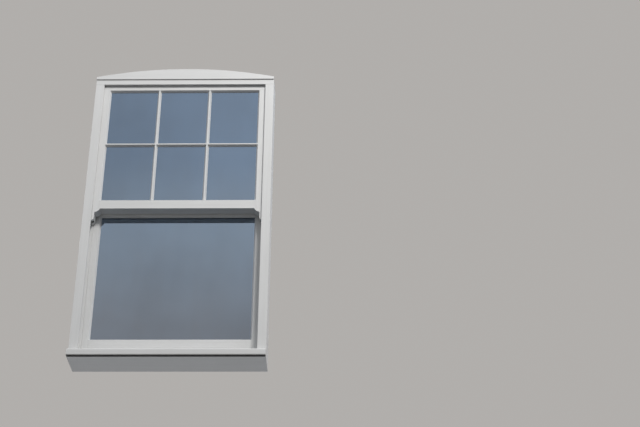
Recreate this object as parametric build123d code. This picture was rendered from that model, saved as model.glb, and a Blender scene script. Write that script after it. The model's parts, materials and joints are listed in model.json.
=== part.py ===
"""Vertically sliding timber sash window: six small panes over one large pane, in its own frame.

All sizes are in millimetres. +X is to the right seen from outside, +Y points into the room and
+Z is up. The origin is the middle of the sill's underside, below the face of the outer lining.
"""

import os
from math import atan, degrees, pi, radians, sqrt, tan

from build123d import *

# Widths, each measured once
jamb_gap = 804.0
sash_side_gap = 2.0
stile_face = 45.0
jamb_thick = 28.0
lining_lap = 12.0

# Depths from the street to the room
lining_thick = 12.0
sash_thick = 46.0
channel_gap = 1.5
parting_thick = 8.0
inner_lining_thick = 18.0
sill_nose = 40.0

# Heights from the sill's underside upwards
sash_foot = 58.0
bottom_rail_face = 72.0
lower_glass_height = 620.0
lower_meeting_face = 60.0
meeting_overlap = 48.0
upper_meeting_face = 50.0
pane_height = 294.0
top_rail_face = 42.0
head_gap = 2.0
head_thick = 26.0

# Sash mouldings and glazing
pane_columns = 3
pane_rows = 2
bar_face = 18.0
rebate = 6.0
glass_set = 12.0
pane_thick = 4.0
cavity = 6.0
ovolo_flat = 6.0
ovolo_radius = 16.0
glass_gap = 1.5
spacer_inset = 1.0
spacer_face = 5.5
putty_lip = 1.0
tenon_length = 14.0
tenon_thick = 10.0
tenon_shoulder = 12.0
horn_drop = 34.0
horn_tip = 8.0
horn_round = 38.0

# Meeting rails: their facing sides slope, and close on each other as the sashes shut
meeting_gap = 1.0
meeting_lean = 3.0
splay_end_gap = 2.0

# Sill
sill_slope = 9.0
sill_seat_gap = 1.0
sill_upstand = 3.0
sill_nose_round = 7.0
throat_radius = 4.0
throat_inset = 12.0

# Beads, linings and the arched board over the head
bead_groove = 8.0
bead_round = 5.0
sill_staff_height = 20.0
head_groove = 6.0
board_proud = 5.0
board_lap = 10.0
board_end = 4.0
board_rise = 46.0

# Spiral balances
tube_radius = 8.0
tube_wall = 1.0
tube_stand_off = 0.3
balance_groove_depth = 18.0
balance_groove_width = 18.0
tongue_length = 20.0
balance_head_room = 46.0
strip_width = 5.0
strip_thick = 1.6
strip_pitch = 240.0
strip_facet = 19.0
slot_clearance = 0.5
nut_clearance = 0.3
nut_length = 5.0
nut_flange = 3.0
nut_room = 10.0
rod_overrun = 23.0
tube_end_room = 25.0
foot_height = 15.0
foot_inset = 6.0
foot_jamb_gap = 3.0
foot_side_gap = 0.1
spring_wall = 1.8
spring_tube_gap = 0.4
spring_end_room = 3.0
screw_radius = 2.0
screw_head_radius = 3.8
screw_head_thick = 1.4
screw_inset = 8.0
screw_depth = 18.0
screw_clearance = 0.05

# Fixing holes through the jambs
fixing_radius = 3.5
lower_fixing_height = 400.0
upper_fixing_height = 1160.0
fixing_spacing = 440.0
upper_fixing_inset = 9.0

# Sash fastener on the meeting rails
plate_length = 62.0
plate_width = 22.0
plate_thick = 3.0
pivot_inset = 30.5
pivot_radius = 4.0
pivot_clearance = 0.08
hub_radius = 10.0
hub_height = 9.0
cap_radius = 7.0
cap_height = 2.5
washer_gap = 0.3
claw_reach = 38.0
claw_width = 12.0
claw_thick = 5.0
claw_rise = 2.7
lever_run = 20.0
lever_bend = 26.0
lever_angle = 38.0
lever_thick = 4.0
lever_width = 9.0
thumb_radius = 3.5
thumb_width = 13.0
keep_length = 40.0
keep_width = 19.0
keep_plate = 2.5
keep_post_length = 26.0
keep_post = 4.5
keep_lip_depth = 15.0
keep_lip_height = 11.0
keep_lip_thick = 4.0
keep_inset = 0.5

# Hook lifts on the bottom rail
lift_spacing = 420.0
lift_length = 44.0
lift_height = 42.0
lift_plate = 3.0
lift_reach = 19.0
lift_lip = 15.0
lift_base = 88.0
lift_round = 1.2

# Sizes that follow from the ones above
jamb_face = jamb_gap / 2
jamb_back = jamb_face + jamb_thick
lining_edge = jamb_face - lining_lap
sash_edge = jamb_face - sash_side_gap
sight = sash_edge - stile_face
rebate_edge = sight + rebate
glass_back = glass_set + pane_thick + cavity + pane_thick

y_jamb = lining_thick
y_upper = y_jamb + channel_gap
y_parting = y_upper + sash_thick + channel_gap
y_lower = y_parting + parting_thick + channel_gap
y_inner = y_lower + sash_thick + channel_gap
y_back = y_inner + inner_lining_thick

z_low_sight = sash_foot + bottom_rail_face
z_low_glass_top = z_low_sight + lower_glass_height
z_low_top = z_low_glass_top + lower_meeting_face
z_up_foot = z_low_top - meeting_overlap
z_up_sight = z_up_foot + upper_meeting_face
z_up_glass_top = z_up_sight + pane_rows * pane_height + (pane_rows - 1) * bar_face
z_up_top = z_up_glass_top + top_rail_face
soffit = z_up_top + head_gap
head_top = soffit + head_thick
lining_foot = soffit - lining_lap
pane_width = (2 * sight - (pane_columns - 1) * bar_face) / pane_columns
groove_floor = sash_edge - balance_groove_depth
tube_axis = jamb_face - tube_stand_off - tube_radius
z_up_rod = z_up_foot + foot_inset + foot_height
z_low_rod = sash_foot + foot_inset + foot_height
tube_length = soffit - balance_head_room - z_up_rod - nut_room
rod_length = tube_length - tube_end_room + nut_room
travel = rod_length - nut_room - nut_length - rod_overrun
nut_radius = tube_radius - tube_wall - nut_clearance

# An edge counts as lying on a line when its middle is this close to it
touch = 0.01

SIDES = {"left": -1, "right": 1}


def block(x_low, x_high, y_low, y_high, z_low, z_high):
    """A box between two corners."""
    size = (x_high - x_low, y_high - y_low, z_high - z_low)
    return Pos(x_low, y_low, z_low) * Box(*size, align=(Align.MIN, Align.MIN, Align.MIN))


def side_block(side, x_near, x_far, y_low, y_high, z_low, z_high):
    """A box on one side of the window, between two distances from the centre line."""
    low, high = sorted((side * x_near, side * x_far))
    return block(low, high, y_low, y_high, z_low, z_high)


def round_edges(solid, radius, *tests):
    """Round the long edges whose middles pass every test."""
    edges = [edge for edge in solid.edges() if all(test(edge) for test in tests)]
    return fillet(edges, radius)


def profile_along_x(points, half_length):
    """A closed (y, z) outline made into a bar along X, centred on the window."""
    outline = Polyline(*[(0, y, z) for y, z in points], close=True)
    return extrude(make_face(outline), amount=half_length, dir=(1, 0, 0), both=True)


# Sash mouldings


def ovolo(width):
    """The curved inner edge of a moulding, from its sight line back to the room face."""
    start = (width, glass_back + ovolo_flat)
    end = (width - rebate, sash_thick)
    return RadiusArc(start, end, ovolo_radius)


def edge_section(width, moulded=True):
    """Section of a stile or rail: outer edge at zero, sight line at the given width."""
    inner = width - rebate
    outline = [(0, sash_thick), (0, 0), (inner, 0), (inner, glass_back), (width, glass_back)]
    if not moulded:
        return make_face(Polyline(*outline, (width, sash_thick), close=True))
    line = Polyline((inner, sash_thick), *outline, (width, glass_back + ovolo_flat))
    return make_face(line + ovolo(width))


def bar_section():
    """Section of a glazing bar, rebated and moulded on both sides."""
    half = edge_section(bar_face / 2)
    return half + mirror(half, about=Plane.YZ)


def moulding(section, across, centre, length):
    """Run a section along the window, with its depth along +Y and its width along across."""
    along = Vector(*across).cross(Vector(0, 1, 0))
    plane = Plane(origin=centre, x_dir=across, z_dir=along)
    return extrude(plane * section, amount=length / 2, both=True)


def stile(side, y_face, z_low, z_high):
    """A plain moulded stile, before its groove and mortises."""
    centre = (side * sash_edge, y_face, (z_low + z_high) / 2)
    return moulding(edge_section(stile_face), (-side, 0, 0), centre, z_high - z_low)


def rail(y_face, z_edge, face, direction, moulded=True):
    """A plain rail from its outer edge towards the glass, up (1) or down (-1)."""
    centre = (0, y_face, z_edge)
    return moulding(edge_section(face, moulded), (0, 0, direction), centre, 2 * rebate_edge)


def tenon(side, y_face, z_low, z_high):
    """Stub tenon of a rail, inside the stile."""
    middle = y_face + glass_back - tenon_thick / 2
    z_shoulder = (z_low + tenon_shoulder, z_high - tenon_shoulder)
    return side_block(side, rebate_edge, rebate_edge + tenon_length,
                      middle - tenon_thick / 2, middle + tenon_thick / 2, *z_shoulder)


def balance_groove(side, y_face):
    """Groove for the balance, down the whole edge of a stile."""
    y_mid = y_face + sash_thick / 2
    half = balance_groove_width / 2
    return side_block(side, groove_floor, jamb_back, y_mid - half, y_mid + half, 0, head_top)


def glazed(y_face, openings):
    """Outer panes, inner panes, spacers and putty for a list of openings between sight lines."""
    outer, inner, spacers, putty = [], [], [], []
    bite = rebate - glass_gap
    for x_low, x_high, z_low, z_high in openings:
        def sheet(grow, y_low, y_high):
            return block(x_low - grow, x_high + grow, y_face + y_low, y_face + y_high,
                         z_low - grow, z_high + grow)

        y_cavity = glass_set + pane_thick
        outer.append(sheet(bite, glass_set, y_cavity))
        inner.append(sheet(bite, y_cavity + cavity, glass_back))
        ring_edge = bite - spacer_inset
        spacers.append(sheet(ring_edge, y_cavity, y_cavity + cavity)
                       - sheet(ring_edge - spacer_face, y_cavity, y_cavity + cavity))
        middle = Plane(origin=((x_low + x_high) / 2, y_face + glass_set, (z_low + z_high) / 2),
                       x_dir=(1, 0, 0), z_dir=(0, -1, 0))
        daylight = extrude(middle * Rectangle(x_high - x_low, z_high - z_low), amount=glass_set,
                           taper=-degrees(atan(rebate / (glass_set - putty_lip))))
        putty.append(sheet(rebate, putty_lip, glass_set) - daylight)
    return [Compound(children=solids) for solids in (outer, inner, spacers, putty)]


# Frame


def weathering(y):
    """Height of the sill's sloping top at a depth."""
    return sash_foot - sill_seat_gap - (y_lower + sash_thick - y) * tan(radians(sill_slope))


def make_sill():
    """Weathered sill with a round nose, a drip throat below it and an upstand to the room."""
    points = [(-sill_nose, 0), (y_back, 0), (y_back, weathering(y_inner) + sill_upstand),
              (y_inner, weathering(y_inner) + sill_upstand), (y_inner, weathering(y_inner)),
              (-sill_nose, weathering(-sill_nose))]
    sill = profile_along_x(points, jamb_back)
    sill = round_edges(sill, sill_nose_round,
                       lambda edge: abs(edge.center().Y + sill_nose) < touch,
                       lambda edge: abs(edge.center().X) < touch)
    throat = Pos(0, throat_inset - sill_nose, 0) * Rot(0, 90, 0) * Cylinder(
        throat_radius, 2 * jamb_back)
    return sill - throat


def staff_bead(solid, along_x):
    """Round the room-side edge of a staff bead that faces the glass."""
    def inner(edge):
        return abs(edge.center().Y - y_back) < touch

    def near_opening(edge):
        middle = edge.center()
        if along_x:
            rims = (lining_foot, weathering(y_inner) + sill_upstand + sill_staff_height)
            return min(abs(middle.Z - z) for z in rims) < touch
        return abs(abs(middle.X) - lining_edge) < touch

    return round_edges(solid, bead_round, inner, near_opening)


def make_frame(sill):
    """Jambs, head, linings, beads and the arched board, without the balances."""
    nodes = {}
    sill_flat = weathering(y_inner) + sill_upstand
    parting_edge = jamb_face + bead_groove
    parting_head = block(-lining_edge, lining_edge, y_parting, y_parting + parting_thick,
                         lining_foot, soffit + bead_groove)
    head = block(-jamb_back, jamb_back, y_jamb, y_inner, soffit, head_top) - parting_head
    for name, side in SIDES.items():
        bead = side_block(side, lining_edge, parting_edge, y_parting,
                          y_parting + parting_thick, 0, soffit)
        jamb = side_block(side, jamb_face, jamb_back, y_jamb, y_inner, 0, soffit + head_groove)
        head -= jamb
        for y_hole, z_middle in fixing_lines():
            for step in (-1, 1):
                hole = Cylinder(fixing_radius, 4 * jamb_thick, rotation=(0, 90, 0))
                jamb -= Pos(side * jamb_face, y_hole, z_middle + step * fixing_spacing / 2) * hole
        nodes[f"{name}_jamb"] = jamb - sill - bead
        nodes[f"{name}_outer_lining"] = side_block(
            side, lining_edge, jamb_back, 0, lining_thick, 0, lining_foot) - sill
        nodes[f"{name}_inner_lining"] = side_block(
            side, jamb_face, jamb_back, y_inner, y_back, sill_flat, soffit)
        nodes[f"{name}_parting_bead"] = bead - sill
        nodes[f"{name}_staff_bead"] = staff_bead(side_block(
            side, lining_edge, jamb_face, y_inner, y_back, sill_flat, lining_foot), False)
    nodes["head"] = head
    nodes["head_parting_bead"] = parting_head
    nodes["head_outer_lining"] = block(
        -jamb_back, jamb_back, 0, lining_thick, lining_foot, head_top)
    nodes["head_inner_lining"] = block(-jamb_back, jamb_back, y_inner, y_back, soffit, head_top)
    nodes["head_staff_bead"] = staff_bead(
        block(-jamb_face, jamb_face, y_inner, y_back, lining_foot, soffit), True)
    nodes["sill_staff_bead"] = staff_bead(
        block(-lining_edge, lining_edge, y_inner, y_back, sill_flat,
              sill_flat + sill_staff_height), True)
    nodes["arched_head_board"] = make_arched_board()
    return nodes


def fixing_lines():
    """Depth and middle height of each line of fixing holes, in the empty half of each channel."""
    return ((y_upper + sash_thick / 2, lower_fixing_height),
            (y_inner - upper_fixing_inset, upper_fixing_height))


def make_arched_board():
    """Board with a segmental top, planted on the head lining and standing over the head."""
    low, end = head_top - board_lap, head_top + board_end
    arch = SagittaArc((-jamb_back, end), (jamb_back, end), board_rise)
    outline = Polyline((jamb_back, end), (jamb_back, low), (-jamb_back, low), (-jamb_back, end))
    face = Plane(origin=(0, lining_thick, 0), x_dir=(1, 0, 0), z_dir=(0, -1, 0)) * make_face(
        outline + arch)
    board = extrude(face, amount=lining_thick + board_proud)
    return board - block(-jamb_back, jamb_back, 0, lining_thick, low, head_top)


# Spiral balances


def strip_turn(height):
    """Angle through which a twisted strip has turned over a height."""
    return 360 * height / strip_pitch


def twisted_strip(width, thick, z_low, length):
    """Flat strip twisted about the Z axis, at the same angle for the same height everywhere."""
    steps = round(strip_turn(length) / strip_facet)
    heights = [z_low + length * step / steps for step in range(steps + 1)]
    sections = [Pos(0, 0, z) * Rot(0, 0, strip_turn(z)) * Rectangle(width, thick) for z in heights]
    return loft(sections, ruled=True)


def make_balance(side, y_face, z_rod, drawn_out):
    """Tube, nut, spring, rod, foot and screw of one balance; drawn out by the sash's travel."""
    y_mid = y_face + sash_thick / 2
    place = Pos(side * tube_axis, y_mid, 0)
    z_mouth = z_rod + nut_room + (travel if drawn_out else 0)
    z_tube_top = z_mouth + tube_length
    z_screw = z_tube_top - screw_inset
    bore = tube_radius - tube_wall
    upwards = (Align.CENTER, Align.CENTER, Align.MIN)

    def drum(radius, z_low, height):
        return Pos(0, 0, z_low) * Cylinder(radius, height, align=upwards)

    tube = drum(tube_radius, z_mouth, tube_length) - drum(bore, z_mouth, tube_length)
    tube -= side_block(side, -tube_radius, 0, -tube_radius, tube_radius,
                       z_tube_top - tongue_length, z_tube_top)
    tube -= Pos(0, 0, z_screw) * Rot(0, side * 90, 0) * Cylinder(
        screw_radius + screw_clearance, 2 * tube_radius, align=upwards)

    flange_low = z_mouth - nut_clearance - nut_flange
    nut = drum(nut_radius, flange_low, z_mouth + nut_length - flange_low)
    nut += Pos(0, 0, flange_low) * extrude(RegularPolygon(tube_radius, 6), amount=nut_flange)
    z_slot = (flange_low + z_mouth + nut_length) / 2
    grow = 2 * slot_clearance
    nut -= Pos(0, 0, z_slot) * Rot(0, 0, strip_turn(z_slot)) * Box(
        strip_width + grow, strip_thick + grow, 2 * nut_room)

    spring_radius = bore - spring_tube_gap
    spring_low = z_mouth + nut_length + nut_clearance
    spring_length = z_tube_top - tongue_length - spring_end_room - spring_low
    spring = drum(spring_radius, spring_low, spring_length)
    spring -= drum(spring_radius - spring_wall, spring_low, spring_length)

    rod = twisted_strip(strip_width, strip_thick, z_rod, rod_length)

    half = balance_groove_width / 2 - foot_side_gap
    foot = side_block(side, groove_floor, jamb_face - foot_jamb_gap, y_mid - half, y_mid + half,
                      z_rod - foot_height, z_rod)

    seat = sqrt(bore ** 2 - screw_head_radius ** 2)
    screw = Pos(side * (tube_axis + seat), y_mid, z_screw) * Rot(0, side * 90, 0)
    shank = Cylinder(screw_radius, jamb_face - tube_axis - seat + screw_depth, align=upwards)
    head = Pos(0, 0, -screw_head_thick) * Cylinder(
        screw_head_radius, screw_head_thick, align=upwards)
    return {"tube": place * tube, "nut": place * nut, "spring": place * spring,
            "rod": place * rod, "foot": foot, "screw": screw * (shank + head)}


# Sashes


def splay(z_low, z_high, y_face, inward, low_proud, high_proud):
    """Sloping strip on the face of a meeting rail, between the parting beads."""
    sign = 1 if inward else -1
    points = [(y_face, z_low), (y_face + sign * low_proud, z_low),
              (y_face + sign * high_proud, z_high), (y_face, z_high)]
    return profile_along_x(points, lining_edge - splay_end_gap)


def meeting_line(z):
    """Depth of the plane midway between the two meeting rails, at a height."""
    gap_middle = y_parting + parting_thick / 2
    share = (z - z_up_foot) / meeting_overlap
    return gap_middle + meeting_lean * (1 - 2 * share)


def make_upper_sash():
    """Sash with the small panes, glazing bars and horns."""
    nodes = {}
    glazed_height = z_up_glass_top - z_up_sight
    meeting = rail(y_upper, z_up_foot, upper_meeting_face, 1, moulded=False)
    top = rail(y_upper, z_up_top, top_rail_face, -1)
    for name, side in SIDES.items():
        blank = stile(side, y_upper, z_up_foot, z_up_top)
        meeting -= blank
        top -= blank
        meeting_tenon = tenon(side, y_upper, z_up_foot, z_up_sight)
        top_tenon = tenon(side, y_upper, z_up_glass_top, z_up_top)
        meeting += meeting_tenon
        top += top_tenon
        body = blank + make_horn(side) - balance_groove(side, y_upper)
        nodes[f"upper_{name}_stile"] = body - meeting_tenon - top_tenon
    back = y_upper + sash_thick
    face_low = meeting_line(z_up_foot) - meeting_gap / 2 - back
    face_high = meeting_line(z_up_sight) - meeting_gap / 2 - back
    meeting += splay(z_up_foot, z_up_sight, back, True, face_low, face_high)

    bars = []
    for column in range(1, pane_columns):
        x_bar = -sight + column * (pane_width + bar_face) - bar_face / 2
        centre = (x_bar, y_upper, (z_up_sight + z_up_glass_top) / 2)
        bar = moulding(bar_section(), (1, 0, 0), centre, glazed_height + 2 * rebate)
        bars.append(bar - meeting - top)
    cross_bars = []
    for row in range(1, pane_rows):
        z_bar = z_up_sight + row * (pane_height + bar_face) - bar_face / 2
        cross = moulding(bar_section(), (0, 0, 1), (0, y_upper, z_bar), 2 * rebate_edge)
        for side in SIDES.values():
            cross -= stile(side, y_upper, z_up_foot, z_up_top)
        for bar in bars:
            cross -= bar
        cross_bars += cross.solids()
    nodes["upper_meeting_rail"] = meeting
    nodes["upper_top_rail"] = top
    nodes["upper_left_glazing_bar"], nodes["upper_right_glazing_bar"] = bars
    nodes["upper_cross_bars"] = Compound(children=cross_bars)

    openings = []
    for column in range(pane_columns):
        x_low = -sight + column * (pane_width + bar_face)
        for row in range(pane_rows):
            z_low = z_up_sight + row * (pane_height + bar_face)
            openings.append((x_low, x_low + pane_width, z_low, z_low + pane_height))
    names = ("upper_outer_panes", "upper_inner_panes", "upper_spacers", "upper_putty")
    nodes.update(zip(names, glazed(y_upper, openings)))
    nodes["fastener_keep"] = make_keep()
    return nodes


def make_horn(side):
    """Curved end of an upper stile, below its meeting rail."""
    low = z_up_foot - horn_drop
    tip = sash_edge - horn_tip
    curve = RadiusArc((tip, low), (sight, z_up_foot), horn_round)
    line = Polyline((sight, z_up_foot), (sash_edge, z_up_foot), (sash_edge, low), (tip, low))
    plane = Plane(origin=(0, y_upper, 0), x_dir=(side, 0, 0), z_dir=(0, -side, 0))
    face = plane * make_face(line + curve)
    return extrude(face, amount=sash_thick, dir=(0, 1, 0))


def below_sash():
    """Everything under the lower sash: the sill's slope raised by its gap."""
    return profile_along_x(
        [(-sill_nose, -sill_nose), (y_back, -sill_nose), (y_back, weathering(y_back) + sill_seat_gap),
         (-sill_nose, weathering(-sill_nose) + sill_seat_gap)], jamb_back)


def make_lower_sash():
    """Sash with the single large pane, its bottom rail cut to the slope of the sill."""
    nodes = {}
    room_for_sill = below_sash()
    meeting = rail(y_lower, z_low_top, lower_meeting_face, -1)
    bottom = rail(y_lower, 0, z_low_sight, 1) - room_for_sill
    for name, side in SIDES.items():
        blank = stile(side, y_lower, 0, z_low_top) - room_for_sill
        meeting -= blank
        bottom -= blank
        meeting_tenon = tenon(side, y_lower, z_low_glass_top, z_low_top)
        bottom_tenon = tenon(side, y_lower, sash_foot, z_low_sight)
        meeting += meeting_tenon
        bottom += bottom_tenon
        body = blank - balance_groove(side, y_lower)
        nodes[f"lower_{name}_stile"] = body - meeting_tenon - bottom_tenon
    face_low = y_lower - meeting_line(z_low_glass_top) - meeting_gap / 2
    face_high = y_lower - meeting_line(z_low_top) - meeting_gap / 2
    meeting += splay(z_low_glass_top, z_low_top, y_lower, False, face_low, face_high)
    nodes["lower_meeting_rail"] = meeting
    nodes["bottom_rail"] = bottom
    names = ("lower_outer_pane", "lower_inner_pane", "lower_spacer", "lower_putty")
    opening = (-sight, sight, z_low_sight, z_low_glass_top)
    nodes.update(zip(names, glazed(y_lower, [opening])))
    nodes["fastener_base"] = make_fastener_base()
    nodes["sash_lifts"] = make_lifts()
    return nodes


# Fastener and lifts

pivot_depth = y_lower + sash_thick - pivot_inset
z_hub = z_low_top + plate_thick + washer_gap


def make_fastener_base():
    """Plate on the lower meeting rail, with the pin that the arm turns on."""
    plate = Pos(0, pivot_depth, z_low_top + plate_thick / 2) * Box(
        plate_length, plate_width, plate_thick)
    plate = fillet(plate.edges().filter_by(Axis.Z), plate_width / 4)
    pin_height = washer_gap + hub_height + washer_gap
    upwards = (Align.CENTER, Align.CENTER, Align.MIN)
    pin = Pos(0, pivot_depth, z_low_top + plate_thick) * Cylinder(
        pivot_radius, pin_height, align=upwards)
    cap = Pos(0, pivot_depth, z_low_top + plate_thick + pin_height) * Cylinder(
        cap_radius, cap_height, align=upwards)
    return plate + pin + cap


def make_fastener_arm():
    """Turning arm: hub, claw towards +X and a raised thumb lever towards -X."""
    upwards = (Align.CENTER, Align.CENTER, Align.MIN)
    hub = Cylinder(hub_radius, hub_height, align=upwards)
    claw = Pos(0, 0, claw_rise) * Box(
        claw_reach - claw_width / 2, claw_width, claw_thick,
        align=(Align.MIN, Align.CENTER, Align.MIN))
    tip = Pos(claw_reach - claw_width / 2, 0, claw_rise) * Cylinder(
        claw_width / 2, claw_thick, align=upwards)
    lever = make_lever()
    bore = Cylinder(pivot_radius + pivot_clearance, 4 * hub_height)
    arm = hub + claw + tip + lever - bore
    return Pos(0, pivot_depth, z_hub) * arm


def make_lever():
    """Flat lever that runs out from the hub and curls up to a rolled thumb end."""
    middle, half = hub_height / 2, lever_thick / 2
    centre = (-lever_run, middle + lever_bend)
    inner = CenterArc(centre, lever_bend - half, -90, -lever_angle)
    outer = CenterArc(centre, lever_bend + half, -90, -lever_angle)
    edge = Polyline(inner @ 0, (0, middle + half), (0, middle - half), outer @ 0)
    outline = edge + outer + Line(outer @ 1, inner @ 1) + inner
    lever = extrude(Plane.XZ * make_face(outline), amount=lever_width / 2, both=True)
    tip = (inner @ 1 + outer @ 1) / 2
    return lever + Pos(tip.X, 0, tip.Y) * Rot(90, 0, 0) * Cylinder(thumb_radius, thumb_width)


def make_keep():
    """Hooked keep on the upper meeting rail, for the arm's claw to pass under."""
    y_room = y_upper + sash_thick - keep_inset
    y_street = y_room - keep_width
    plate = block(-keep_length / 2, keep_length / 2, y_street, y_room,
                  z_up_sight, z_up_sight + keep_plate)
    half = keep_post_length / 2
    top = z_up_sight + keep_lip_height + keep_lip_thick
    post = block(-half, half, y_street, y_street + keep_post, z_up_sight, top)
    lip = block(-half, half, y_street, y_street + keep_lip_depth, top - keep_lip_thick, top)
    keep = plate + post + lip
    return round_edges(keep, keep_post / 3,
                       lambda edge: abs(edge.center().Z - top) < touch,
                       lambda edge: abs(edge.center().X) < touch)


def make_lifts():
    """Two hook lifts screwed to the bottom rail."""
    face = y_lower + sash_thick
    reach = face + lift_reach
    points = [(face, lift_base), (reach, lift_base), (reach, lift_base + lift_lip),
              (reach - lift_plate, lift_base + lift_lip),
              (reach - lift_plate, lift_base + lift_plate),
              (face + lift_plate, lift_base + lift_plate),
              (face + lift_plate, lift_base + lift_height), (face, lift_base + lift_height)]
    hook = profile_along_x(points, lift_length / 2)
    hook = round_edges(hook, lift_round,
                       lambda edge: abs(edge.center().X) < touch,
                       lambda edge: edge.center().Y > reach - lift_plate - touch)
    return Compound(children=[Pos(side * lift_spacing / 2, 0, 0) * hook for side in (-1, 1)])


def make_window():
    """Every piece of the window, by the name of its node."""
    sill = make_sill()
    nodes = {"sill": sill}
    nodes.update(make_frame(sill))
    nodes.update(make_upper_sash())
    nodes.update(make_lower_sash())
    nodes["fastener_arm"] = make_fastener_arm()

    springs, screws = [], []
    for sash, y_face, z_rod, drawn_out in (
        ("upper", y_upper, z_up_rod, False),
        ("lower", y_lower, z_low_rod, True),
    ):
        rods, feet = [], []
        for name, side in SIDES.items():
            balance = make_balance(side, y_face, z_rod, drawn_out)
            nodes[f"{sash}_{name}_balance_tube"] = balance["tube"]
            nodes[f"{sash}_{name}_balance_nut"] = balance["nut"]
            rods.append(balance["rod"])
            feet.append(balance["foot"])
            springs.append(balance["spring"])
            screws.append(balance["screw"])
            nodes[f"{name}_jamb"] -= balance["screw"]
        nodes[f"{sash}_balance_rods"] = Compound(children=rods)
        nodes[f"{sash}_balance_feet"] = Compound(children=feet)
    nodes["balance_springs"] = Compound(children=springs)
    nodes["balance_screws"] = Compound(children=screws)
    return nodes


def write_parts(nodes):
    """One STEP file for each node."""
    os.makedirs("parts", exist_ok=True)
    for name, shape in nodes.items():
        export_step(shape, f"parts/{name}.step")
    print(f"{len(nodes)} parts, nut turns {2 * pi / strip_pitch * 1000:.4f} rad for each metre")


write_parts(make_window())
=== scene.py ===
"""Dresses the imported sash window: painted timber, double glazing, balances and brass fittings.

Lengths are in metres, in the CAD frame: +X to the right seen from outside, +Y into the room, +Z up.
"""
import json
from math import pi, radians

import bmesh
import bpy
from mathutils import Matrix, Vector


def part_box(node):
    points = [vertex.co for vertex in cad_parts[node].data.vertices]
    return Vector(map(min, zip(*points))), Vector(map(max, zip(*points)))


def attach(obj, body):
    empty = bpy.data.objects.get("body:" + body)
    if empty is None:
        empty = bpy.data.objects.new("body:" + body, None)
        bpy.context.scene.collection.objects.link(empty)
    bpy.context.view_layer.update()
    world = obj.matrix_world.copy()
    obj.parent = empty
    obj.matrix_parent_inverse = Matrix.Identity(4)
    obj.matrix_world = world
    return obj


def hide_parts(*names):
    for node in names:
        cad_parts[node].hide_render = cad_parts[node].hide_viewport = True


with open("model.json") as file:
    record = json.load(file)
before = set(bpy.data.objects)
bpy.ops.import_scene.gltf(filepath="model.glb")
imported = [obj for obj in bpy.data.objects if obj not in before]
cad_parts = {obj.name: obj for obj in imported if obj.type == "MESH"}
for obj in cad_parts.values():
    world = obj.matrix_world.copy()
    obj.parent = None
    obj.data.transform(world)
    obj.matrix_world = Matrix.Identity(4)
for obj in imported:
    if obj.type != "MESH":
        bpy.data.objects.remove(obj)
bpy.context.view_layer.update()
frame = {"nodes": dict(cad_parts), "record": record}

NODES = frame["nodes"]
SLOTS = {part["node"]: part["material_slot"] for part in frame["record"]["subparts"]}

# Camera, found from the window's edges in the photograph: millimetres, metres and degrees
LENS = 78.76
SENSOR_WIDTH = 36.0
CLIP_START = 0.05
CLIP_END = 60.0
CAMERA_PLACE = (0.765, -5.521, -2.502)
CAMERA_YAW = -1.11
CAMERA_PITCH = 30.30
CAMERA_ROLL = 0.43

# Lamps: name, place, size across and power
LAMPS = (("key", (1.9, -3.9, 4.6), 1.3, 250.0),
         ("fill", (-2.8, 4.4, 3.0), 3.0, 120.0))
LAMP_AIM = (0.0, 0.0, 0.8)
LAMP_COLOUR = (1.0, 0.985, 0.960)

# Four numbers in a row say how an effect grows: as its cause goes from the first to the second,
# it goes from the third to the fourth, or from 0 to 1 where only two are given

# Sky that lights the window, by height, and backdrop that the camera sees
SKY_COLOUR = (0.955, 0.985, 1.030)
SKY_RISE = (-0.3, 0.9, 0.30, 0.86)
BACKDROP = (0.440, 0.425, 0.410)

# Sky that glossy surfaces mirror: its bands by height, its clouds, and its drift between two sides
MIRROR_LEVEL = (0.670, 0.665, 0.665)
MIRROR_BANDS = (((0.36, 0.42), (0.735, 0.668, 0.628)),
                ((0.43, 0.49), (0.850, 0.870, 0.890)),
                ((0.50, 0.535), (0.670, 0.725, 0.800)))
MIRROR_SIDES = (-0.17, -0.06)
MIRROR_LEFT = (0.44, 0.52, 1.05, 0.90)
MIRROR_RIGHT = (0.44, 0.52, 0.96, 1.13)
CLOUD_SCALE = 13.0
CLOUD_STRETCH = (1.0, 1.0, 1.8)
CLOUD_LIGHT = (0.30, 0.70, 0.93, 1.07)

# Floor: its colour to the eye, and to the light that it throws back
FLOOR_COLOUR = (0.51, 0.503, 0.495)
FLOOR_SHADE = (0.060, 0.058, 0.056)
FLOOR_HALF = 6.0
FLOOR_ROUGHNESS = 0.9

# Colours, as linear values
PAINT = (0.650, 0.652, 0.650)
PAINT_AGED = (0.580, 0.580, 0.572)
PRIMER = (0.400, 0.390, 0.370)
DUST = (0.500, 0.492, 0.470)
# Grime together with painted shade, for the timber's corners and recesses
GRIME_AND_SHADE = (0.330, 0.318, 0.290)
GLASS_TINT = (0.255, 0.319, 0.400)
ENAMEL = (0.70, 0.70, 0.69)
ENAMEL_DULL = (0.62, 0.62, 0.60)
STEEL = (0.520, 0.530, 0.540)
STEEL_DULL = (0.36, 0.37, 0.38)
NYLON = (0.700, 0.700, 0.670)
NYLON_YELLOWED = (0.62, 0.60, 0.52)
BRASS = (0.620, 0.415, 0.175)
BRASS_DULL = (0.440, 0.290, 0.125)
SPACER = (0.012, 0.012, 0.013)
SPACER_GRIT = (0.03, 0.03, 0.032)

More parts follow.
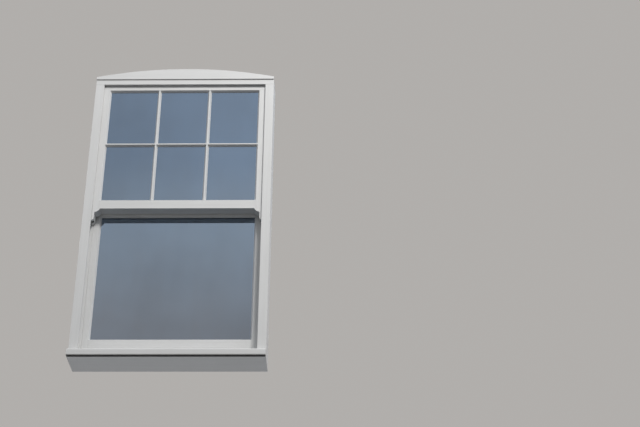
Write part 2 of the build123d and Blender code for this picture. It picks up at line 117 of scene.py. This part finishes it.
# Painted timber
TONES = {"frame_paint": 1.0, "sash_paint": 1.01}
GRAIN_SQUASH = 0.035
BRUSH_SCALE = 900.0
TIMBER_SCALE = 95.0
PATCH_SCALE = 5.5
WORN_SCALE = 46.0
GRIME_AND_SHADE_SCALE = 24.0
BRUSH_RELIEF = 0.00007
TIMBER_RELIEF = 0.00022
PAINT_IOR = 1.48
PAINT_ROUGHNESS = (0.25, 0.75, 0.34, 0.50)
AGED_BY_PATCH = (0.30, 0.80, 0.0, 0.40)
AGED_BY_GRAIN = (0.35, 0.75, 0.0, 0.50)
PRIMER_BY_BRUSH = (0.3, 0.8, 0.0, 0.10)
DUST_BY_FACING = (0.3, 0.95)
DUST_BY_PATCH = (0.25, 0.75, 0.25, 0.60)
WORN_RADIUS = 0.0016
WORN_SAMPLES = 4
WORN_BY_ARRIS = (0.985, 0.90)
WORN_BY_PATCH = (0.50, 0.64, 0.0, 0.50)
# Corner darkening from ambient occlusion: painted shade as much as grime, broken into patches
CORNER_REACH = 0.022
CORNER_SAMPLES = 6
PAINTED_SHADE_BY_CORNER = (0.62, 0.20)
GRIME_AND_SHADE_BY_PATCH = (0.35, 0.65, 0.15, 0.55)

# Putty
KNIFE_SCALE = 60.0
PUTTY_PATCH_SCALE = 8.0
PUTTY_AGED = (0.35, 0.7, 0.0, 0.5)
PUTTY_ROUGHNESS = (0.3, 0.7, 0.32, 0.44)
PUTTY_RELIEF = 0.0002

# Glass
SMEAR_SCALE = 7.0
SMEAR_STRETCH = (1.0, 1.0, 0.35)
SMEAR_TINT = (0.3, 0.7)
SMEAR_DARKEST = 0.93
SMEAR_ROUGHNESS = (0.45, 0.8, 0.012, 0.055)
SPECK_SCALE = 260.0
SPECK_ROUGHNESS = (0.70, 0.80, 0.0, 0.10)
SHEET_SCALE = 3.2
SHEET_STRETCH = (1.0, 1.0, 0.45)
SHEET_RELIEF = 0.00035
GLASS_MIRROR = 0.85
GLASS_IOR = 1.52

# Metals; the fine noise and the highest roughness are multiples of the metal's own
METAL_DULLED = (0.38, 0.68)
METAL_ROUGHENED = (0.3, 0.7)
METAL_ROUGHEST = 1.8
METAL_FINE = 30
METAL_RELIEF = 0.00003

# Nylon
SKIN_SCALE = 1400.0
SHADE_SCALE = 40.0
NYLON_AGED = (0.35, 0.7)
NYLON_ROUGHNESS = (0.3, 0.7, 0.36, 0.46)
NYLON_SCATTER = 0.08
NYLON_SCATTER_DEPTHS = (0.004, 0.004, 0.003)
NYLON_RELIEF = 0.00002

# Spacer bars
GRIT_SCALE = 700.0
GRIT_TINT = (0.3, 0.7)
SPACER_ROUGHNESS = (0.3, 0.7, 0.55, 0.75)
SPACER_RELIEF = 0.00005

# Softened arrises by slot, and the angles in degrees at which faces count as flat, round or sharp
ARRISES = {"frame_paint": 0.0009, "sash_paint": 0.0007, "balance_foot": 0.0006}
ARRIS_SEGMENTS = 3
ARRIS_ANGLE = 30.0
FLAT_ANGLE = 1.0
SMOOTH_ANGLE = 40.0
WELD_REACH = 1e-5
AREA_WEIGHT = 100

# Horns: three bends, each by its start, pull and end, as distances in from the stile's sight edge
# and down from the meeting rail; then the lap into the stile, the cuts and the balance's groove
HORN_UPPER = ((0.0, 0.0), (0.006, 0.015), (0.024, 0.019))
HORN_NECK = ((0.024, 0.019), (0.0253, 0.024), (0.0245, 0.042))
HORN_LOWER = ((0.0245, 0.042), (0.0250, 0.060), (0.0370, 0.061))
HORN_STEPS = 10
HORN_LAP = 0.002
HORN_LAP_SETBACK = 0.007
HORN_WELD = 1e-6
CUT_HALF_WIDTH = 1
CUT_MARGIN = 0.1
GROOVE_DEPTH = 0.018
GROOVE_SIDES = (0.0275, 0.0455)
GROOVE_OVERRUN = 0.01

# Screw heads; the taper and the slot's depth are shares of the radius and the height
SCREW_RADIUS = 0.0026
SCREW_TAPER = 0.88
SCREW_HEIGHT = 0.0012
SCREW_PROUD = 0.0003
SCREW_SLOT = 0.0007
SCREW_SLOT_DEPTH = 0.6
SCREW_SEGMENTS = 32
SCREW_ARRIS = 0.00012
SCREW_ARRIS_SEGMENTS = 2
TOP_FACING = 0.9
INTO_ROOM = -pi / 2

# Their places from the plates' edges, the plates' thickness, and the turns of their slots
FASTENER_INSET = 0.0065
FASTENER_PLATE = 0.003
FASTENER_TURN = 25.0
KEEP_INSET = 0.0035
KEEP_SETBACK = 0.0105
KEEP_PLATE = 0.0025
KEEP_TURN = 55.0
LIFT_MIDDLE = 0.022
LIFT_HALF_SPACING = 0.014
LIFT_PLATE = 0.003
LIFT_DROP = 0.012
LIFT_TURN = 35.0
LIFT_SIDE_TURN = 20.0

# Sockets of a Mix node that blends colours
MIX_SHARE = 0
MIX_FIRST = 6
MIX_SECOND = 7
MIX_RESULT = 2


# Node helpers


def feed(tree, socket, value):
    """Link a value that another node gives, or set a plain one."""
    if isinstance(value, bpy.types.NodeSocket):
        tree.links.new(value, socket)
    else:
        socket.default_value = value


def add(tree, kind, settings=None, **inputs):
    """A node with its settings and its inputs."""
    node = tree.nodes.new(kind)
    for key, value in (settings or {}).items():
        setattr(node, key, value)
    for key, value in inputs.items():
        feed(tree, node.inputs[key.replace("_", " ")], value)
    return node


def new_material(name):
    """An empty material: its tree, its Principled shader and the object coordinates."""
    made = bpy.data.materials.new(name)
    made.use_nodes = True
    tree = made.node_tree
    shader = tree.nodes["Principled BSDF"]
    place = tree.nodes.new("ShaderNodeTexCoord").outputs["Object"]
    return made, tree, shader, place


def noise(tree, place, scale, stretch=(1, 1, 1), detail=3.0, rough=0.5):
    """Noise in object space; stretch multiplies the scale on each axis."""
    spread = add(tree, "ShaderNodeMapping", Vector=place, Scale=stretch)
    return add(tree, "ShaderNodeTexNoise", Vector=spread.outputs[0], Scale=scale,
               Detail=detail, Roughness=rough).outputs["Fac"]


def ramp(tree, value, low, high, out_low=0.0, out_high=1.0):
    """Value mapped from one range to another, clamped."""
    return add(tree, "ShaderNodeMapRange", Value=value, From_Min=low, From_Max=high,
               To_Min=out_low, To_Max=out_high).outputs["Result"]


def maths(tree, operation, first, second):
    """Two numbers joined by an operation."""
    node = add(tree, "ShaderNodeMath", {"operation": operation})
    feed(tree, node.inputs[0], first)
    feed(tree, node.inputs[1], second)
    return node.outputs[0]


def opaque(colour):
    """A plain colour with its alpha; one that another node gives stays as it is."""
    return (*colour, 1.0) if isinstance(colour, tuple) else colour


def blend_colours(tree, share, first, second):
    """First colour where share is 0, second where it is 1."""
    node = add(tree, "ShaderNodeMix", {"data_type": "RGBA"})
    feed(tree, node.inputs[MIX_SHARE], share)
    feed(tree, node.inputs[MIX_FIRST], opaque(first))
    feed(tree, node.inputs[MIX_SECOND], opaque(second))
    return node.outputs[MIX_RESULT]


def blend_shaders(tree, share, first, second):
    """First shader where share is 0, second where it is 1."""
    node = tree.nodes.new("ShaderNodeMixShader")
    for socket, value in zip(node.inputs, (share, first.outputs[0], second.outputs[0])):
        tree.links.new(value, socket)
    return node


def background(tree, colour, strength):
    """A world shader."""
    return add(tree, "ShaderNodeBackground", Color=opaque(colour), Strength=strength)


def surface(tree, shader, colour, roughness, *relief):
    """Colour, roughness and layers of relief (height, distance), one over the other."""
    tree.links.new(colour, shader.inputs["Base Color"])
    tree.links.new(roughness, shader.inputs["Roughness"])
    normal = None
    for height, distance in relief:
        node = add(tree, "ShaderNodeBump", Height=height, Distance=distance, Strength=1.0)
        if normal is not None:
            tree.links.new(normal, node.inputs["Normal"])
        normal = node.outputs["Normal"]
    tree.links.new(normal, shader.inputs["Normal"])


# Materials


def painted_timber(name, grain, tone):
    """Brushed satin paint over timber: aged in patches, dusty on top, grimy and given painted
    shade in its corners, and worn on its arrises. The grain runs along one axis.
    """
    made, tree, shader, place = new_material(name)
    along = tuple(GRAIN_SQUASH if axis == grain else 1.0 for axis in "xyz")
    brush = noise(tree, place, BRUSH_SCALE, along, detail=4.0, rough=0.65)
    timber = noise(tree, place, TIMBER_SCALE, along, detail=3.0)
    patches = noise(tree, place, PATCH_SCALE, detail=4.0, rough=0.6)

    facing = add(tree, "ShaderNodeNewGeometry")
    up = add(tree, "ShaderNodeSeparateXYZ", Vector=facing.outputs["Normal"]).outputs["Z"]
    dust = maths(tree, "MULTIPLY", ramp(tree, up, *DUST_BY_FACING),
                 ramp(tree, patches, *DUST_BY_PATCH))

    rounded = add(tree, "ShaderNodeBevel", {"samples": WORN_SAMPLES}, Radius=WORN_RADIUS)
    flatness = add(tree, "ShaderNodeVectorMath", {"operation": "DOT_PRODUCT"})
    tree.links.new(rounded.outputs["Normal"], flatness.inputs[0])
    tree.links.new(facing.outputs["Normal"], flatness.inputs[1])
    chips = noise(tree, place, WORN_SCALE, detail=5.0)
    worn = maths(tree, "MULTIPLY", ramp(tree, flatness.outputs["Value"], *WORN_BY_ARRIS),
                 ramp(tree, chips, *WORN_BY_PATCH))

    # Painted shade: ambient occlusion darkens corners and recesses, in patches like grime
    open_air = add(tree, "ShaderNodeAmbientOcclusion", {"samples": CORNER_SAMPLES},
                   Distance=CORNER_REACH).outputs["AO"]
    dirt = noise(tree, place, GRIME_AND_SHADE_SCALE, detail=4.0)
    grime = maths(tree, "MULTIPLY", ramp(tree, open_air, *PAINTED_SHADE_BY_CORNER),
                  ramp(tree, dirt, *GRIME_AND_SHADE_BY_PATCH))

    colour = tuple(tone * value for value in PAINT)
    for share, other in ((ramp(tree, patches, *AGED_BY_PATCH), PAINT_AGED),
                         (ramp(tree, timber, *AGED_BY_GRAIN), PAINT_AGED),
                         (ramp(tree, brush, *PRIMER_BY_BRUSH), PRIMER),
                         (dust, DUST), (grime, GRIME_AND_SHADE), (worn, PRIMER)):
        colour = blend_colours(tree, share, colour, other)
    shader.inputs["IOR"].default_value = PAINT_IOR
    surface(tree, shader, colour, ramp(tree, brush, *PAINT_ROUGHNESS),
            (timber, TIMBER_RELIEF), (brush, BRUSH_RELIEF))
    return made


def putty_paint():
    """Painted glazing putty: smoother than the timber, with small knife waves."""
    made, tree, shader, place = new_material("putty paint")
    waves = noise(tree, place, KNIFE_SCALE, detail=2.0)
    patches = noise(tree, place, PUTTY_PATCH_SCALE, detail=3.0)
    surface(tree, shader, blend_colours(tree, ramp(tree, patches, *PUTTY_AGED), PAINT, PAINT_AGED),
            ramp(tree, waves, *PUTTY_ROUGHNESS), (waves, PUTTY_RELIEF))
    return made


def window_glass():
    """Coated double glazing: mostly a dark blue-grey mirror, with a little of the room behind."""
    made, tree, shader, place = new_material("window glass")
    smears = noise(tree, place, SMEAR_SCALE, SMEAR_STRETCH, detail=5.0, rough=0.6)
    specks = noise(tree, place, SPECK_SCALE, detail=2.0)
    sheet = noise(tree, place, SHEET_SCALE, SHEET_STRETCH, detail=1.0)
    darker = tuple(SMEAR_DARKEST * value for value in GLASS_TINT)
    grime = maths(tree, "ADD", ramp(tree, smears, *SMEAR_ROUGHNESS),
                  ramp(tree, specks, *SPECK_ROUGHNESS))
    shader.inputs["Metallic"].default_value = GLASS_MIRROR
    shader.inputs["Transmission Weight"].default_value = 1.0
    shader.inputs["IOR"].default_value = GLASS_IOR
    surface(tree, shader, blend_colours(tree, ramp(tree, smears, *SMEAR_TINT), darker, GLASS_TINT),
            grime, (sheet, SHEET_RELIEF))
    return made


def metal(name, bright, dull, scale, rough, metallic=1.0):
    """Metal, or enamel on it, whose colour and roughness drift between two states."""
    made, tree, shader, place = new_material(name)
    wear = noise(tree, place, scale, detail=5.0, rough=0.6)
    fine = noise(tree, place, METAL_FINE * scale, detail=2.0)
    shader.inputs["Metallic"].default_value = metallic
    surface(tree, shader, blend_colours(tree, ramp(tree, wear, *METAL_DULLED), bright, dull),
            ramp(tree, wear, *METAL_ROUGHENED, rough, METAL_ROUGHEST * rough),
            (fine, METAL_RELIEF))
    return made


def moulded_nylon():
    """Off-white nylon with a fine moulded skin, yellowed in places."""
    made, tree, shader, place = new_material("nylon")
    skin = noise(tree, place, SKIN_SCALE, detail=2.0)
    shade = noise(tree, place, SHADE_SCALE, detail=3.0)
    shader.inputs["Subsurface Weight"].default_value = NYLON_SCATTER
    shader.inputs["Subsurface Radius"].default_value = NYLON_SCATTER_DEPTHS
    surface(tree, shader,
            blend_colours(tree, ramp(tree, shade, *NYLON_AGED), NYLON, NYLON_YELLOWED),
            ramp(tree, skin, *NYLON_ROUGHNESS), (skin, NYLON_RELIEF))
    return made


def dark_spacer():
    """Matt black spacer bar with a fine grit."""
    made, tree, shader, place = new_material("dark spacer")
    grit = noise(tree, place, GRIT_SCALE, detail=3.0)
    surface(tree, shader, blend_colours(tree, ramp(tree, grit, *GRIT_TINT), SPACER, SPACER_GRIT),
            ramp(tree, grit, *SPACER_ROUGHNESS), (grit, SPACER_RELIEF))
    return made


def make_finishes():
    """Materials by slot; those of painted timber by slot and the way the piece runs."""
    finishes = {}
    for way, grain in (("upright", "z"), ("level", "x")):
        for slot, tone in TONES.items():
            name = f"{slot.replace('_', ' ')} {way}"
            finishes[slot, way] = painted_timber(name, grain, tone)
    finishes["putty"] = putty_paint()
    finishes["glass"] = window_glass()
    finishes["spacer"] = dark_spacer()
    finishes["balance_tube"] = metal("white enamel", ENAMEL, ENAMEL_DULL,
                                     scale=9.0, rough=0.28, metallic=0.0)
    finishes["balance_steel"] = metal("zinc steel", STEEL, STEEL_DULL, scale=22.0, rough=0.26)
    finishes["balance_nut"] = moulded_nylon()
    finishes["balance_foot"] = moulded_nylon()
    finishes["brass"] = metal("aged brass", BRASS, BRASS_DULL, scale=60.0, rough=0.26)
    return finishes


# Object and mesh helpers


def new_object(name, data):
    """An object in the scene."""
    made = bpy.data.objects.new(name, data)
    bpy.context.scene.collection.objects.link(made)
    return made


def finished_mesh(shape, name):
    """The mesh of a bmesh, which is freed."""
    mesh = bpy.data.meshes.new(name)
    shape.to_mesh(mesh)
    shape.free()
    return mesh


def extrude(shape, faces, step):
    """Move faces by a step, with walls behind them."""
    grown = bmesh.ops.extrude_face_region(shape, geom=faces)["geom"]
    moved = [item for item in grown if isinstance(item, bmesh.types.BMVert)]
    bmesh.ops.translate(shape, verts=moved, vec=step)
    bmesh.ops.recalc_face_normals(shape, faces=shape.faces)


def soften(obj, width, segments):
    """Round the arrises of an object with a modifier."""
    soft = obj.modifiers.new("soft", "BEVEL")
    soft.width = width
    soft.segments = segments
    soft.limit_method = "ANGLE"
    soft.angle_limit = radians(ARRIS_ANGLE)
    return soft


# Carried-over CAD nodes


def dress(obj, material, arris=0.0):
    """Give a piece its material, softened arrises and smooth round faces."""
    obj.data.materials.clear()
    obj.data.materials.append(material)
    for face in obj.data.polygons:
        face.use_smooth = True
        face.material_index = 0
    weld = obj.modifiers.new("weld", "WELD")
    weld.merge_threshold = WELD_REACH
    if arris > 0:
        flat = obj.modifiers.new("flat", "DECIMATE")
        flat.decimate_type = "DISSOLVE"
        flat.angle_limit = radians(FLAT_ANGLE)
        soft = soften(obj, arris, ARRIS_SEGMENTS)
        soft.harden_normals = True
        soft.use_clamp_overlap = True
        even = obj.modifiers.new("even", "WEIGHTED_NORMAL")
        even.mode = "FACE_AREA"
        even.weight = AREA_WEIGHT
    else:
        split = obj.modifiers.new("split", "EDGE_SPLIT")
        split.split_angle = radians(SMOOTH_ANGLE)


def dress_nodes(finishes):
    """Material and edges for every CAD node, by its slot and the way it runs."""
    for name, obj in NODES.items():
        slot = SLOTS[name]
        low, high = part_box(name)
        way = "upright" if high[2] - low[2] > high[0] - low[0] else "level"
        material = finishes[slot, way] if slot in TONES else finishes[slot]
        dress(obj, material, ARRISES.get(slot, 0.0))


# Horns of the upper sash


def curve_points(start, pull, end):
    """Points of a smooth bend from start towards pull and on to end, without the end itself."""
    points = []
    for step in range(HORN_STEPS):
        share = step / HORN_STEPS
        points.append(tuple((1 - share) ** 2 * a + 2 * share * (1 - share) * b + share ** 2 * c
                            for a, b, c in zip(start, pull, end)))
    return points


def rectangle(x_first, x_last, z_low, z_high):
    """Outline of an upright rectangle."""
    return (x_first, z_low), (x_last, z_low), (x_last, z_high), (x_first, z_high)


def upright_prism(name, profile, y_low, y_high):
    """Closed prism between two depths, from its outline across and up."""
    shape = bmesh.new()
    face = shape.faces.new([shape.verts.new((x, y_low, z)) for x, z in profile])
    extrude(shape, [face], (0, y_high - y_low, 0))
    return new_object(name, finished_mesh(shape, name))


def combine(base, tool, operation):
    """Cut tool out of base, or join it on; the tool is used up."""
    step = base.modifiers.new("combine", "BOOLEAN")
    step.operation = operation
    step.solver = "EXACT"
    step.object = tool
    graph = bpy.context.evaluated_depsgraph_get()
    mesh = bpy.data.meshes.new_from_object(base.evaluated_get(graph))
    base.modifiers.clear()
    base.data = mesh
    bpy.data.objects.remove(tool)


def make_horn(side, sight, outer, foot, depths):
    """Horn with a round lobe, a neck and a rounded tip, and the balance's groove in its back."""
    drop = HORN_LOWER[-1][1]
    offsets = [point for bend in (HORN_UPPER, HORN_NECK, HORN_LOWER)
               for point in curve_points(*bend)]
    offsets.append(HORN_LOWER[-1])
    profile = [(sight + side * inward, foot - down) for inward, down in offsets]
    profile += [(outer, foot - drop), (outer, foot + HORN_LAP),
                (sight + side * HORN_LAP_SETBACK, foot + HORN_LAP),
                (sight + side * HORN_LAP_SETBACK, foot)]
    horn = upright_prism("horn", profile, *depths)
    hollow = rectangle(outer + side * GROOVE_OVERRUN, outer - side * GROOVE_DEPTH,
                       foot - CUT_MARGIN, foot + GROOVE_OVERRUN)
    combine(horn, upright_prism("groove", hollow, *GROOVE_SIDES), "DIFFERENCE")
    return horn


def horned_stile(side, material):
    """Upper stile with the longer horn; it stands for the CAD stile."""
    node = "upper_left_stile" if side < 0 else "upper_right_stile"
    low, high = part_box(node)
    outer, sight = (low[0], high[0]) if side < 0 else (high[0], low[0])
    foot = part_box("upper_meeting_rail")[0][2]

    welded = bmesh.new()
    welded.from_mesh(NODES[node].data)
    bmesh.ops.remove_doubles(welded, verts=welded.verts, dist=HORN_WELD)
    stile = new_object(node + "_horned", finished_mesh(welded, node + "_horned"))
    old_horn = rectangle(-CUT_HALF_WIDTH, CUT_HALF_WIDTH, low[2] - CUT_MARGIN, foot)
    combine(stile, upright_prism("old_horn", old_horn, low[1] - CUT_MARGIN, high[1] + CUT_MARGIN),
            "DIFFERENCE")
    combine(stile, make_horn(side, sight, outer, foot, (low[1], high[1])), "UNION")
    dress(stile, material, ARRISES["sash_paint"])
    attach(stile, "upper_sash")
    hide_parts(node)


# Screw heads of the fastener, its keep and the lifts


def screw_head_mesh():
    """Countersunk screw head with a driving slot, its rim just above the plane z = 0."""
    shape = bmesh.new()
    bmesh.ops.create_cone(shape, cap_ends=True, segments=SCREW_SEGMENTS, radius1=SCREW_RADIUS,
                          radius2=SCREW_TAPER * SCREW_RADIUS, depth=SCREW_HEIGHT,
                          matrix=Matrix.Translation((0, 0, SCREW_PROUD - SCREW_HEIGHT / 2)))
    for side in (-1, 1):
        bmesh.ops.bisect_plane(shape, geom=shape.verts[:] + shape.edges[:] + shape.faces[:],
                               plane_co=(0, side * SCREW_SLOT / 2, 0), plane_no=(0, 1, 0))
    slot = [face for face in shape.faces if face.normal.z > TOP_FACING
            and abs(face.calc_center_median().y) < SCREW_SLOT / 2]
    extrude(shape, slot, (0, 0, -SCREW_SLOT_DEPTH * SCREW_HEIGHT))
    return finished_mesh(shape, "screw_head")


def place_screw(mesh, name, body, place, turn, tilt=0.0):
    """One screw head, which faces up unless tilted, with its slot turned by so many degrees."""
    head = new_object(name, mesh)
    head.matrix_world = (Matrix.Translation(place) @ Matrix.Rotation(tilt, 4, "X")
                         @ Matrix.Rotation(radians(turn), 4, "Z"))
    soften(head, SCREW_ARRIS, SCREW_ARRIS_SEGMENTS)
    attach(head, body)


def place_screws(material):
    """Screws in the plates of the fastener, its keep and the two lifts."""
    mesh = screw_head_mesh()
    mesh.materials.append(material)
    base_low, base_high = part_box("fastener_base")
    keep_low, keep_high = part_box("fastener_keep")
    lift_low, lift_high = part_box("sash_lifts")
    for side in (-1, 1):
        number = side + 2
        place_screw(mesh, f"fastener_screw_{number}", "lower_sash",
                    (side * (base_high[0] - FASTENER_INSET), (base_low[1] + base_high[1]) / 2,
                     base_low[2] + FASTENER_PLATE), FASTENER_TURN * side)
        place_screw(mesh, f"keep_screw_{number}", "upper_sash",
                    (side * (keep_high[0] - KEEP_INSET), keep_low[1] + KEEP_SETBACK,
                     keep_low[2] + KEEP_PLATE), KEEP_TURN * side)
        middle = side * (lift_high[0] - LIFT_MIDDLE)
        for step in (-1, 1):
            place_screw(mesh, f"lift_screw_{number}_{step + 2}", "lower_sash",
                        (middle + step * LIFT_HALF_SPACING, lift_low[1] + LIFT_PLATE,
                         lift_high[2] - LIFT_DROP),
                        LIFT_TURN * step - LIFT_SIDE_TURN * side, INTO_ROOM)


# Stage, light and camera


def make_floor():
    """Plain floor, clear from below, and darker to diffuse light, so that it throws little back."""
    mesh = bpy.data.meshes.new("floor")
    half = FLOOR_HALF
    mesh.from_pydata([(-half, -half, 0), (half, -half, 0), (half, half, 0), (-half, half, 0)],
                     [], [(0, 1, 2, 3)])
    floor = new_object("floor", mesh)
    made, tree, shader, _ = new_material("floor")
    rays = add(tree, "ShaderNodeLightPath")
    seen = rays.outputs["Is Camera Ray"]
    for name in ("Is Glossy Ray", "Is Transmission Ray"):
        seen = maths(tree, "MAXIMUM", seen, rays.outputs[name])
    tree.links.new(blend_colours(tree, seen, FLOOR_SHADE, FLOOR_COLOUR),
                   shader.inputs["Base Color"])
    shader.inputs["Roughness"].default_value = FLOOR_ROUGHNESS
    clear = tree.nodes.new("ShaderNodeBsdfTransparent")
    below = add(tree, "ShaderNodeNewGeometry").outputs["Backfacing"]
    tree.links.new(blend_shaders(tree, below, shader, clear).outputs[0],
                   tree.nodes["Material Output"].inputs["Surface"])
    mesh.materials.append(made)


def make_world():
    """Soft sky for the light, plain backdrop for the camera, and a clouded sky in the gloss."""
    world = bpy.data.worlds.new("studio")
    world.use_nodes = True
    bpy.context.scene.world = world
    tree = world.node_tree
    tree.nodes.clear()
    place = tree.nodes.new("ShaderNodeTexCoord").outputs["Generated"]
    towards = add(tree, "ShaderNodeSeparateXYZ", Vector=place)
    across, height = towards.outputs["X"], towards.outputs["Z"]
    sky = background(tree, SKY_COLOUR, ramp(tree, height, *SKY_RISE))
    plain = background(tree, BACKDROP, 1.0)

    clouds = noise(tree, place, CLOUD_SCALE, CLOUD_STRETCH, detail=4.0)
    drift = ramp(tree, across, *MIRROR_SIDES, ramp(tree, height, *MIRROR_LEFT),
                 ramp(tree, height, *MIRROR_RIGHT))
    colour = MIRROR_LEVEL
    for heights, band in MIRROR_BANDS:
        colour = blend_colours(tree, ramp(tree, height, *heights), colour, band)
    mirror = background(tree, colour,
                        maths(tree, "MULTIPLY", ramp(tree, clouds, *CLOUD_LIGHT), drift))

    rays = add(tree, "ShaderNodeLightPath")
    light = sky
    for name, shown in (("Is Glossy Ray", mirror), ("Is Transmission Ray", plain),
                        ("Is Camera Ray", plain)):
        light = blend_shaders(tree, rays.outputs[name], light, shown)
    output = tree.nodes.new("ShaderNodeOutputWorld")
    tree.links.new(light.outputs[0], output.inputs["Surface"])


def make_lamp(name, place, size, power):
    """Soft round lamp aimed at the middle of the window."""
    lamp = bpy.data.lights.new(name, "AREA")
    lamp.shape = "DISK"
    lamp.size = size
    lamp.energy = power
    lamp.color = LAMP_COLOUR
    holder = new_object(name, lamp)
    holder.location = place
    aim = Vector(LAMP_AIM) - Vector(place)
    holder.rotation_euler = aim.to_track_quat("-Z", "Y").to_euler()


def make_camera():
    """Camera below the window, looking up at it from where the photograph was taken."""
    data = bpy.data.cameras.new("camera")
    data.lens = LENS
    data.sensor_width = SENSOR_WIDTH
    data.clip_start = CLIP_START
    data.clip_end = CLIP_END
    camera = new_object("camera", data)
    turn = Matrix.Rotation(-radians(CAMERA_YAW), 4, "Z")
    tilt = Matrix.Rotation(pi / 2 + radians(CAMERA_PITCH), 4, "X")
    roll = Matrix.Rotation(radians(CAMERA_ROLL), 4, "Z")
    camera.matrix_world = Matrix.Translation(CAMERA_PLACE) @ turn @ tilt @ roll
    bpy.context.scene.camera = camera


make_camera()
make_world()
for lamp_row in LAMPS:
    make_lamp(*lamp_row)
make_floor()
finishes = make_finishes()
dress_nodes(finishes)
for side in (-1, 1):
    horned_stile(side, finishes["sash_paint", "upright"])
place_screws(finishes["brass"])
bpy.context.scene.view_settings.view_transform = "Standard"
